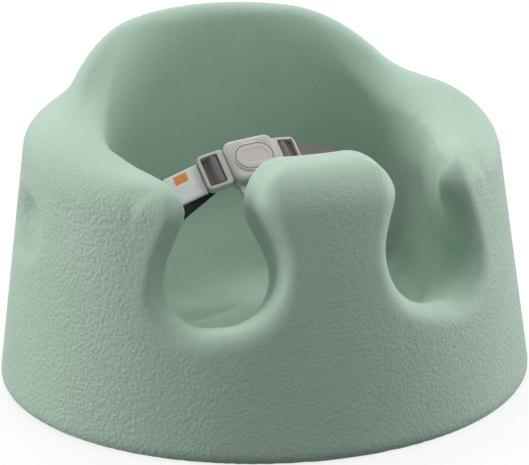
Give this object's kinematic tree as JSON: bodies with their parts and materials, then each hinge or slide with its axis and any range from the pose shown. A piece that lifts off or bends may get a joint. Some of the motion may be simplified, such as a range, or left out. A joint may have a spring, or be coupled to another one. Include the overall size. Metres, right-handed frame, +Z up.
{
  "type": "baby floor seat",
  "caption": "Moulded foam floor seat with a high back, two leg openings, a pommel between them, and a webbing belt with a press-button buckle.",
  "frame": {"origin": "centre of the underside, on the floor", "axes": "+Z up, front of the seat toward -Y, +X toward the right of someone who looks at its front"},
  "size_m": [0.3762, 0.3762, 0.2372],
  "materials": {
    "foam": "matte moulded skin, fine pebble grain on the outside",
    "buckle_plastic": "fine matte",
    "anchor_plastic": "plain moulded",
    "webbing": "woven",
    "label": "plain woven sleeve",
    "steel": "bright spring steel"
  },
  "bodies": {
    "seat": {"seat_body": "foam", "buckle_back": "buckle_plastic", "buckle_front": "buckle_plastic", "button_spring": "steel", "latch_spring": "steel", "left_strap": "webbing", "right_strap": "webbing", "crotch_strap": "webbing", "left_anchor": "anchor_plastic", "right_anchor": "anchor_plastic", "crotch_anchor": "anchor_plastic"},
    "button": {"release_button": "buckle_plastic"},
    "left_tongue": {"left_tongue": "buckle_plastic", "strap_label": "label"},
    "right_tongue": {"right_tongue": "buckle_plastic"}
  },
  "joints": [
    {"name": "button_press", "type": "slide", "parent": "seat", "child": "button", "axis": [-0.0187, 0.6689, -0.7431], "range_m": [0, 0.003], "stiffness_N_per_m": 1500, "springref_m": -0.002, "deforming": ["button_spring", "latch_spring"]},
    {"name": "left_tongue_release", "type": "slide", "parent": "seat", "child": "left_tongue", "axis": [-0.9904, -0.1144, -0.0781], "range_m": [0, 0.024], "deforming": ["left_strap"]},
    {"name": "right_tongue_release", "type": "slide", "parent": "seat", "child": "right_tongue", "axis": [0.9904, 0.1144, 0.0781], "range_m": [0, 0.024], "deforming": ["right_strap"]}
  ]
}
